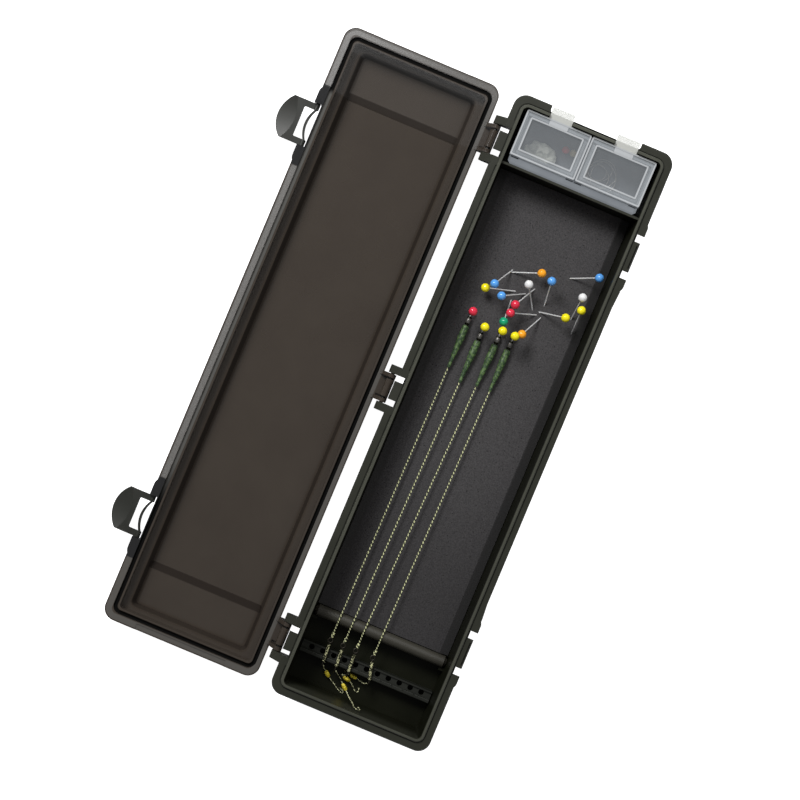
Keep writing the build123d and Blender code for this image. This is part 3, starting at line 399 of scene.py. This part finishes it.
# Glossy polystyrene, coloured right through, with a small sharp highlight
head_plastics = {
    colour: moulded(f"polystyrene_{colour}_moulded", low, high, 0.12, relief=0.003)
    for colour, low, high in (
        ("orange", "#f29a1e", "#ffb032"),
        ("blue", "#4f97e2", "#66aaf0"),
        ("yellow", "#ecde10", "#fff02c"),
        ("white", "#dedede", "#eeeeee"),
        ("red", "#d62a42", "#e63c54"),
        ("green", "#18946a", "#26a87c"),
    )
}
# Ground and polished needle steel: bright and almost even in tone
needle_steel = moulded("steel_needle_polished", "#e8e8e8", "#f6f6f6", 0.36, patch=1.5, Metallic=0.55)
# Blackened steel: dark with a soft metal sheen on the rings and collars, and greyer on the barrels
swivel_steel = moulded("steel_blackened", "#26261f", "#38382e", 0.35, patch=1.0, Metallic=1.0)
barrel_steel = moulded("steel_barrel_blackened", "#5e5c58", "#7c7a76", 0.4, patch=1.0, Metallic=0.6)
# The hooks' coating is a dull grey-black that shows its edges a little browner
hook_coat = moulded("steel_hook_coated", "#24221c", "#38352c", 0.45, patch=1.2, Metallic=0.7)
# Drawn nylon: smooth, glossy and a pale grey-brown
nylon = moulded("nylon_line_drawn", "#8f8b85", "#b8b4ae", 0.2, patch=1.5)

# Coated braid: dark green-black with a pale fleck about every 2 mm, where a light strand crosses over
fleck_spacing = 2.15
wave_rate = 10  # the radians by which the wave texture turns over one unit at a scale of 1
braid = new_material("polyethylene_braid_woven")
strand = node(braid, "ShaderNodeTexWave", {"wave_type": "BANDS", "bands_direction": "DIAGONAL"}, {
    "Vector": node(braid, "ShaderNodeTexCoord", {}, {}).outputs["Object"],
    "Scale": 2 * math.pi / (wave_rate * fleck_spacing * mm), "Distortion": 1.2, "Detail": 1.0,
    "Detail Scale": 0.6,
})
crossing = node(braid, "ShaderNodeMapRange", {}, {
    "Value": strand.outputs["Fac"], "From Min": 0.36, "From Max": 0.6,
})
braid_tone = layered(braid, "#20241a", (crossing.outputs["Result"], "#cdcf9e"))
surfaced(braid, braid_tone, 0.7, strand.outputs["Fac"], 0.05)
# Woven polyester: matt, pale and dark in close flecks, with a little less of the pale on the whippings
hair_braid = flecked("polyester_braid_woven", "#3a3b28", "#cfcfa4", 0.9, 0.55, 0.75, 0.05)
whipping_braid = flecked("polyester_whipping_woven", "#33341f", "#d4d3a4", 0.9, 0.5, 0.75, 0.05)
# Soft green rubber, in two close greens
sleeve_rubber = flecked("silicone_rubber_moulded", "#30452a", "#546c40", 1.6, 0.5, 0.5, 0.1)
# Floating bait: mustard yellow with pale flecks
bait_foam = flecked("bait_corn_moulded", "#a8961c", "#d8c640", 1.2, 0.6, 0.5, 0.1)


# Modelling

def fit(piece, body, slot, *nodes):
    """Makes a finished piece move with a body and lets it stand for CAD nodes. The slot is not used."""
    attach(piece, body)
    if nodes:
        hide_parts(*nodes)


def line(name, points, diameter, material):
    """A smooth line that follows points given in millimetres."""
    data = bpy.data.curves.new(name, "CURVE")
    data.dimensions = "3D"
    data.bevel_depth = diameter / 2 * mm
    data.bevel_resolution = 3
    data.use_fill_caps = True
    data.resolution_u = 8
    spline = data.splines.new("NURBS")
    spline.points.add(len(points) - 1)
    for point, place in zip(spline.points, points):
        point.co = (*[c * mm for c in place], 1)
    spline.order_u = 3
    spline.use_endpoint_u = True
    made = bpy.data.objects.new(name, data)
    bpy.context.collection.objects.link(made)
    data.materials.append(material)
    return made


def wound(start, way, right, up, first, pitch, turns, radius):
    """The points of a coil round a way, which begins at a first distance from its start."""
    points = []
    for sample in range(turns * turn_samples + 1):
        angle = 2 * math.pi * sample / turn_samples
        middle = start + way * (first + pitch * sample / turn_samples)
        points.append(middle + right * radius * math.cos(angle) + up * radius * math.sin(angle))
    return points


def ball(middle, radius, start_angle, end_angle, steps):
    """A ball's stations of height and radius for turned(), between two angles from its top."""
    sweep = end_angle - start_angle
    angles = [math.radians(start_angle + sweep * step / steps) for step in range(1, steps)]
    return [(middle + radius * math.cos(angle), radius * math.sin(angle)) for angle in angles]


def turned(name, material, stations, sides=20):
    """A round piece along Z, extruded and scaled through stations of height and radius in millimetres."""
    (height, radius), *rest = stations
    bpy.ops.mesh.primitive_circle_add(
        vertices=sides, radius=radius * mm, fill_type="NGON", location=(0, 0, height * mm)
    )
    made = bpy.context.object
    made.name = name
    bpy.ops.object.transform_apply()
    bpy.ops.object.mode_set(mode="EDIT")
    bpy.ops.mesh.select_all(action="SELECT")
    for next_height, next_radius in rest:
        rise = (next_height - height) * mm
        bpy.ops.mesh.extrude_region_move(TRANSFORM_OT_translate={"value": (0, 0, rise)})
        share = next_radius / radius
        bpy.ops.transform.resize(value=(share, share, 1), center_override=(0, 0, next_height * mm))
        height, radius = next_height, next_radius
    bpy.ops.mesh.select_all(action="SELECT")
    bpy.ops.mesh.normals_make_consistent(inside=False)
    bpy.ops.object.mode_set(mode="OBJECT")
    bpy.ops.object.shade_smooth_by_angle(angle=math.radians(50))
    made.data.materials.append(material)
    return made


def ring(name, material, radius, wire):
    """A ring of round wire in the XY plane, a little flattened where it was pressed."""
    bpy.ops.mesh.primitive_torus_add(
        major_radius=radius * mm, minor_radius=wire / 2 * mm, major_segments=32, minor_segments=12
    )
    made = bpy.context.object
    made.name = name
    bpy.ops.transform.resize(value=(1, 1, 0.92))
    bpy.ops.object.transform_apply()
    bpy.ops.object.shade_smooth_by_angle(angle=math.radians(60))
    made.data.materials.append(material)
    return made


def aimed(start, end):
    """The placing that stands a piece on one point, in millimetres, with its Z towards another."""
    start = Vector(start) * mm
    way = Vector(end) * mm - start
    return Matrix.Translation(start) @ way.to_track_quat("Z", "Y").to_matrix().to_4x4()


def placed(pattern, matrix, material=None):
    """A copy of a modelled piece, with its own mesh, at a place."""
    made = pattern.copy()
    made.data = pattern.data.copy()
    made.data.transform(matrix)
    if material:
        made.data.materials[0] = material
    bpy.context.collection.objects.link(made)
    return made


def joined(name, pieces):
    """Several meshes as one piece."""
    bpy.ops.object.select_all(action="DESELECT")
    for piece in pieces:
        piece.select_set(True)
    bpy.context.view_layer.objects.active = pieces[0]
    if len(pieces) > 1:
        bpy.ops.object.join()
    pieces[0].name = name
    bpy.ops.object.select_all(action="DESELECT")
    return pieces[0]


def apply_modifiers(piece):
    """Makes a piece's modifiers part of its mesh."""
    bpy.ops.object.select_all(action="DESELECT")
    piece.select_set(True)
    bpy.context.view_layer.objects.active = piece
    for modifier in list(piece.modifiers):
        bpy.ops.object.modifier_apply(modifier=modifier.name)
    bpy.ops.object.select_all(action="DESELECT")


# The rigs: the middle of each swivel's ring, the corner over the bar, the middle of the hook's eye, and the
# turn of the hook in plan, in degrees
rigs = [
    ((-23.4, 57.9, 12.2), (-25.3, -131.0, 14.8), (-25.3, -144.0, 11.6), 4),
    ((-13.9, 52.4, 12.2), (-17.5, -131.0, 14.8), (-17.5, -144.0, 11.6), 4),
    ((-3.9, 54.2, 12.2), (-9.8, -131.0, 14.8), (-9.8, -144.0, 11.6), 3),
    ((3.6, 54.2, 12.2), (0.6, -131.0, 14.8), (0.6, -144.0, 11.6), 14),
]
# Their hairs, from the hook's bend to the end loop, and the number of the point after which the bait sits
hairs = [
    [(-23.4, -158.6, 11.2), (-22.8, -160.4, 8.4), (-21.4, -161.4, 4.6), (-17.4, -165.0, 3.6),
     (-14.8, -166.4, 2.6), (-10.6, -169.2, 2.4), (-7.2, -170.6, 2.4), (-6.6, -168.9, 2.4),
     (-9.8, -168.1, 2.4)],
    [(-15.6, -158.8, 11.9), (-14.0, -160.6, 8.2), (-11.2, -162.8, 4.4), (-9.8, -164.6, 3.6),
     (-5.2, -168.4, 3.8), (-3.2, -170.0, 8.4), (-1.2, -170.9, 14.0), (0.4, -171.3, 19.4),
     (0.6, -171.7, 25.0), (3.4, -171.9, 28.4), (5.4, -171.8, 24.8), (3.0, -171.4, 21.2)],
    [(-9.8, -158.8, 11.9), (-11.6, -159.6, 8.6), (-12.0, -160.4, 5.0), (-10.6, -161.0, 3.6),
     (-5.6, -162.2, 3.6), (-3.4, -164.0, 2.6), (-1.0, -166.8, 2.4), (1.4, -166.0, 2.4), (0.4, -163.8, 2.4)],
    [(3.0, -158.4, 11.9), (2.2, -159.8, 8.4), (0.6, -160.0, 5.0), (-2.6, -159.2, 3.7),
     (-7.4, -158.6, 3.7), (-9.8, -158.8, 2.8), (-11.2, -157.8, 2.4)],
]
bait_points = [2, 3, 3, 3]
braid_diameter = 0.8
hair_diameter = 0.6
whipping_diameter = 0.45
turn_samples = 8  # points on each turn of a whipping or a knot
hook_reach = 13.38  # from the eye to the start of the bend
hook_wire = 0.9
eye_radius = 1.3
swivel_radius = 1.7
sleeve_start = 8.3
sleeve_length = 25.5
knot_reach = 1.9  # from the eye's middle back to the hooklink's knot
upright = Vector((0, 0, 1))

# A bait: a soft barrel with a rounded end at each side of its hair
bait_pattern = turned("bait", bait_foam, [
    (-2.3, 0.4), (-2.2, 0.65), (-1.8, 0.95), (-1.1, 1.18), (-0.4, 1.25), (0.4, 1.25), (1.1, 1.18),
    (1.8, 0.95), (2.2, 0.65), (2.3, 0.4),
])
for number, (points, bait_point) in enumerate(zip(hairs, bait_points), 1):
    hair = line(f"hair_{number}", points, hair_diameter, hair_braid)
    near, far_end = Vector(points[bait_point]), Vector(points[bait_point + 1])
    bait = placed(bait_pattern, aimed((near + far_end) / 2, far_end))
    bait.name = f"bait_{number}"
    is_long = number == 2
    fit(hair, "tub", "hair_line", "long_hair" if is_long else "short_hairs")
    fit(bait, "tub", "bait", "long_hair_bait" if is_long else "hook_baits")

# A hook: coated wire bent to a round gape, with its eye turned from the same wire and a ground point
bpy.ops.curve.primitive_bezier_curve_add()
wire = bpy.context.object
wire.data.bevel_depth = hook_wire / 2 * mm
wire.data.bevel_resolution = 4
wire.data.use_fill_caps = True
bend = wire.data.splines[0]
bend.bezier_points.add(3)
gape = 4.8
bow = gape / 2
pull = 0.5523 * bow  # length of the handles that draw a quarter circle
for point, (place, handle, thickness) in zip(bend.bezier_points, (
    ((eye_radius, 0, 0), (0, 0, 0), 1.0),
    ((hook_reach, 0, 0), (pull, 0, 0), 1.0),
    ((hook_reach + bow, 0, -bow), (0, 0, -pull), 1.0),
    ((hook_reach, 0, -gape), (-pull, 0, 0), 1.0),
    ((hook_reach - 1.2, 0, -gape), (-0.3, 0, 0), 0.2),
)):
    point.handle_left_type = point.handle_right_type = "FREE"
    point.co = Vector(place) * mm
    point.handle_right = (Vector(place) + Vector(handle)) * mm
    point.handle_left = (Vector(place) - Vector(handle)) * mm
    point.radius = thickness
bpy.ops.object.convert(target="MESH")
wire = bpy.context.object
wire.data.materials.clear()
wire.data.materials.append(hook_coat)
bpy.ops.object.shade_smooth_by_angle(angle=math.radians(60))
hook_pattern = joined("hook", [wire, ring("eye", hook_coat, eye_radius, hook_wire)])

# A swivel: a ring of blackened wire, a grey barrel, and dark turned collars at both ends of it
ring_pattern = ring("swivel_ring", swivel_steel, swivel_radius, 0.6)
barrel_pattern = turned("barrel", barrel_steel, [
    (0.0, 0.5), (1.2, 0.6), (2.0, 1.15), (2.2, 1.36), (5.0, 1.36), (5.3, 1.1), (6.6, 0.5),
])
collar_pattern = turned("collar", swivel_steel, [
    (1.1, 0.7), (1.2, 1.0), (1.5, 1.3), (1.9, 1.4), (2.2, 1.4), (2.3, 1.2),
])
end_collar_pattern = turned("end_collar", swivel_steel, [
    (4.9, 1.2), (5.0, 1.4), (5.5, 1.4), (5.9, 1.2), (6.2, 0.8), (6.3, 0.6),
])

# A sleeve: soft rubber drawn out to a thin tail, with small lumps that the photograph shows along it
sleeve_profile = [
    (0, 1.4), (0.4, 1.7), (2, 1.95), (6.4, 2.1), (10, 1.9), (12.75, 1.65), (18, 1.25), (sleeve_length, 0.75),
]
sleeve_stations = []
for (low, radius), (high, next_radius) in zip(sleeve_profile, sleeve_profile[1:]):
    steps = max(1, round(high - low))
    for step in range(steps):
        share = step / steps
        place = low + share * (high - low)
        lump = 0.09 * math.sin(1.9 * place) + 0.07 * math.sin(0.8 * place + 1)
        sleeve_stations.append((place, radius + share * (next_radius - radius) + lump))
sleeve_stations.append(sleeve_profile[-1])
sleeve_pattern = turned("sleeve", sleeve_rubber, sleeve_stations)

for number, (start, corner, eye, turn) in enumerate(rigs, 1):
    start, corner, eye = Vector(start), Vector(corner), Vector(eye)
    way = (corner - start).normalized()
    down = (eye - corner).normalized()
    steer = math.radians(turn)

    placing = aimed(start + way * swivel_radius, corner)
    swivel = joined(f"swivel_{number}", [
        placed(ring_pattern, Matrix.Translation(start * mm)),
        *[placed(pattern, placing) for pattern in (barrel_pattern, collar_pattern, end_collar_pattern)],
    ])
    fit(swivel, "tub", "dark_steel", "swivels")

    sleeve_place = start + way * sleeve_start
    sleeve = placed(sleeve_pattern, aimed(sleeve_place, corner))
    sleeve.name = f"sleeve_{number}"
    fit(sleeve, "tub", "green_rubber", "sleeves")

    # the hooklink runs straight out of its sleeve, bends over the bar and ends in its knot at the eye
    knot_place = eye - down * knot_reach
    link = line(f"hooklink_{number}", [
        sleeve_place + way * 2, sleeve_place + way * sleeve_length, corner - way * 40, corner - way,
        corner, corner + down, knot_place,
    ], braid_diameter, braid)
    fit(link, "tub", "braid", "hooklinks")

    hook = placed(hook_pattern, Matrix.Translation(eye * mm) @ Matrix.Rotation(steer - math.pi / 2, 4, "Z"))
    hook.name = f"hook_{number}"
    fit(hook, "tub", "hook_steel", "hooks")

    # the hair is whipped round the shank in close turns, from the eye to the bend
    shank = Vector((math.sin(steer), -math.cos(steer), 0))
    beside = Vector((math.cos(steer), math.sin(steer), 0))
    whip = wound(eye, shank, beside, upright, first=2.3, pitch=0.6, turns=17, radius=0.68)
    fit(line(f"whipping_{number}", whip, whipping_diameter, whipping_braid), "tub", "hair_line")

    # the hooklink's knot: three turns round itself, just clear of the eye
    over = Vector((0, down.z, -down.y))
    knot = wound(knot_place, -down, Vector((1, 0, 0)), over, first=0.4, pitch=0.8, turns=3, radius=0.5)
    fit(line(f"knot_{number}", knot, braid_diameter, braid), "tub", "braid")


# The pins: a ground needle and a ball head with a short collar

head_height, head_radius = 22, 2.5
needle_pattern = turned(
    "needle", needle_steel, [(0, 0.08), (0.5, 0.2), (1.6, 0.38), (3.0, 0.4), (21.0, 0.4)], sides=14
)
head_pattern = turned("head", head_plastics["red"], [
    (19.25, 0.45), (19.35, 0.6), (19.5, 0.7), *ball(head_height, head_radius, 160, 0, 15), (24.48, 0.2),
], sides=28)

# each colour's pins, as the tip of the needle and the middle of the head
spare_pins = {
    "orange": [((-14.3, 86.5, 8.2), (4.2, 92.9, 18.2)), ((15.0, 72.5, 7.6), (7.0, 56.9, 20.8))],
    "blue": [
        ((13.4, 74.5, 7.3), (10.8, 90.6, 22.0)), ((17.8, 96.0, 7.8), (35.0, 102.9, 19.8)),
        ((-10.1, 91.2, 7.3), (-18.2, 77.0, 22.0)), ((3.0, 80.6, 7.5), (-11.9, 72.3, 21.3)),
    ],
    "yellow": [
        ((-2.4, 79.3, 8.5), (-21.9, 73.3, 16.7)), ((33.4, 65.9, 7.3), (32.5, 82.0, 22.3)),
        ((8.8, 72.4, 7.5), (26.0, 74.8, 21.1)),
    ],
    "white": [((9.3, 70.2, 7.4), (-0.3, 84.0, 21.6)), ((29.8, 73.2, 7.2), (30.3, 88.8, 22.7))],
    "red": [((5.7, 86.3, 7.6), (-2.9, 70.8, 20.6)), ((13.6, 71.6, 7.8), (-3.6, 65.4, 20.1))],
    "green": [((-5.5, 75.5, 7.3), (-5.3, 59.4, 22.3))],
}
needles = []
for colour, pins in spare_pins.items():
    heads = []
    for tip, middle in pins:
        placing = aimed(tip, middle)
        needles.append(placed(needle_pattern, placing))
        heads.append(placed(head_pattern, placing, head_plastics[colour]))
    fit(joined(f"heads_{colour}", heads), "tub", f"{colour}_plastic", f"spare_heads_{colour}")
fit(joined("needles", needles), "tub", "pin_steel", "spare_needles")

rig_pin_tip = 3  # its height; each stands upright through the ring of its rig
for number, (colour, (start, _, _, _)) in enumerate(zip(("red", "yellow", "yellow", "yellow"), rigs), 1):
    placing = aimed((*start[:2], rig_pin_tip), (*start[:2], rig_pin_tip + head_height))
    pin = joined(f"pin_{number}", [
        placed(head_pattern, placing, head_plastics[colour]), placed(needle_pattern, placing),
    ])
    fit(pin, f"rig_pin_{number}", f"{colour}_plastic", f"rig_pin_{number}")


# In the tackle box

bead_profile = [(-1.5, 0.4), (-2.05, 0.55), *ball(0, 2.2, 165, 15, 14), (2.05, 0.55), (1.5, 0.4)]
for name, material, slot in (
    ("bead_red", bead_red, "red_plastic"), ("bead_cream", bead_cream, "cream_plastic"),
):
    low, high = [Vector(corner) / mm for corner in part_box(name)]
    middle = (low + high) / 2
    bead = turned(name + "_bored", material, bead_profile, sides=28)
    bead.data.transform(aimed(middle, middle + Vector((0.3, 0.4, 0.85))))
    fit(bead, "tackle_box", slot, name)

# The bag of bait: thin film that has slumped over its contents, all folds and small creases
low, high = [Vector(corner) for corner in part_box("bait_bag")]
bpy.ops.mesh.primitive_ico_sphere_add(
    subdivisions=5, radius=0.5, location=(low + high) / 2, scale=(high - low) * 1.02
)
bag = bpy.context.object
bag.name = "bait_bag_film"
bpy.ops.object.transform_apply()
for name, kind, size, depth in (
    ("slump", "CLOUDS", 7.0, 5.0), ("folds", "VORONOI", 4.0, 1.4), ("creases", "STUCCI", 1.6, 0.4),
):
    pattern = bpy.data.textures.new(name, kind)
    pattern.noise_scale = size * mm
    folds = bag.modifiers.new(name, "DISPLACE")
    folds.texture = pattern
    folds.texture_coords = "LOCAL"
    folds.strength = depth * mm
    folds.mid_level = 0.6
apply_modifiers(bag)
for point in bag.data.vertices:
    point.co.z = min(max(point.co.z, low.z), high.z)
bag.data.materials.append(bag_film)
for face in bag.data.polygons:
    face.use_smooth = True
fit(bag, "tackle_box", "bag_film", "bait_bag")

# The hank of line: five loose turns of springy line, each thrown a little off the last and lying over it
hank_x, hank_y, hank_floor = 13.6, 158.55, 3.55
hank_turns, hank_turn_samples, hank_pitch = 5, 12, 0.7
hank_points = []
for sample in range(hank_turns * hank_turn_samples + 1):
    angle = 2 * math.pi * sample / hank_turn_samples
    radius = 7.0 + 1.3 * math.sin(0.43 * angle)
    hank_points.append((
        hank_x + 2.4 * math.cos(0.37 * angle) + radius * math.cos(angle),
        hank_y + 1.8 * math.sin(0.61 * angle) + radius * math.sin(angle),
        hank_floor + hank_pitch * angle / (2 * math.pi),
    ))
hank = line("hank", hank_points, 0.5, nylon)
fit(hank, "tackle_box", "clear_line", "line_hank")

for pattern in (
    bait_pattern, hook_pattern, ring_pattern, barrel_pattern, collar_pattern, end_collar_pattern,
    sleeve_pattern, needle_pattern, head_pattern,
):
    bpy.data.objects.remove(pattern)


# Floor and light

# White paper, which is plain white to the camera and still takes the shadow
bpy.ops.mesh.primitive_plane_add(size=20, location=(0, 0, -0.0002))
floor = bpy.context.object
floor.name = "floor"
paper = new_material("studio_paper_matt")
rays = node(paper, "ShaderNodeLightPath", {}, {})
seen = combined(paper, "MAXIMUM", rays.outputs["Is Camera Ray"], rays.outputs["Is Transmission Ray"])
matt = node(paper, "ShaderNodeBsdfPrincipled", {}, {"Base Color": hex_colour("#e8e8e8"), "Roughness": 0.9})
glow = node(paper, "ShaderNodeEmission", {}, {"Strength": seen})
both = node(paper, "ShaderNodeAddShader", {}, {0: matt.outputs["BSDF"], 1: glow.outputs["Emission"]})
node(paper, "ShaderNodeOutputMaterial", {}, {"Surface": both.outputs["Shader"]})
floor.data.materials.append(paper)
floor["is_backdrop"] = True

# The sky is white to the camera, and lights the part from all round at a low level
world = bpy.data.worlds.new("studio")
bpy.context.scene.world = world
world.use_nodes = True
sky = world.node_tree.nodes["Background"]
sky.inputs["Color"].default_value = hex_colour("#ffffff")
sky_rays = node(world, "ShaderNodeLightPath", {}, {})
sky_strength = layered(world, 0.19, (sky_rays.outputs["Is Camera Ray"], 1.0))
world.node_tree.links.new(sky_strength, sky.inputs["Strength"])

# The main lamp stands where the lid doesn't mirror it, and the fill lamp isn't mirrored at all
for place, size, power, mirrored in (
    ((-0.78, 0.75, 1.15), 0.55, 23, True),
    ((0.5, 0.6, 1.0), 0.9, 5, False),
):
    bpy.ops.object.light_add(type="AREA", location=place)
    lamp = bpy.context.object
    lamp.data.size = size
    lamp.data.energy = power
    lamp.visible_glossy = mirrored
    lamp.rotation_euler = (Vector((0, 0, 0)) - Vector(place)).to_track_quat("-Z", "Y").to_euler()

low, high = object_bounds()
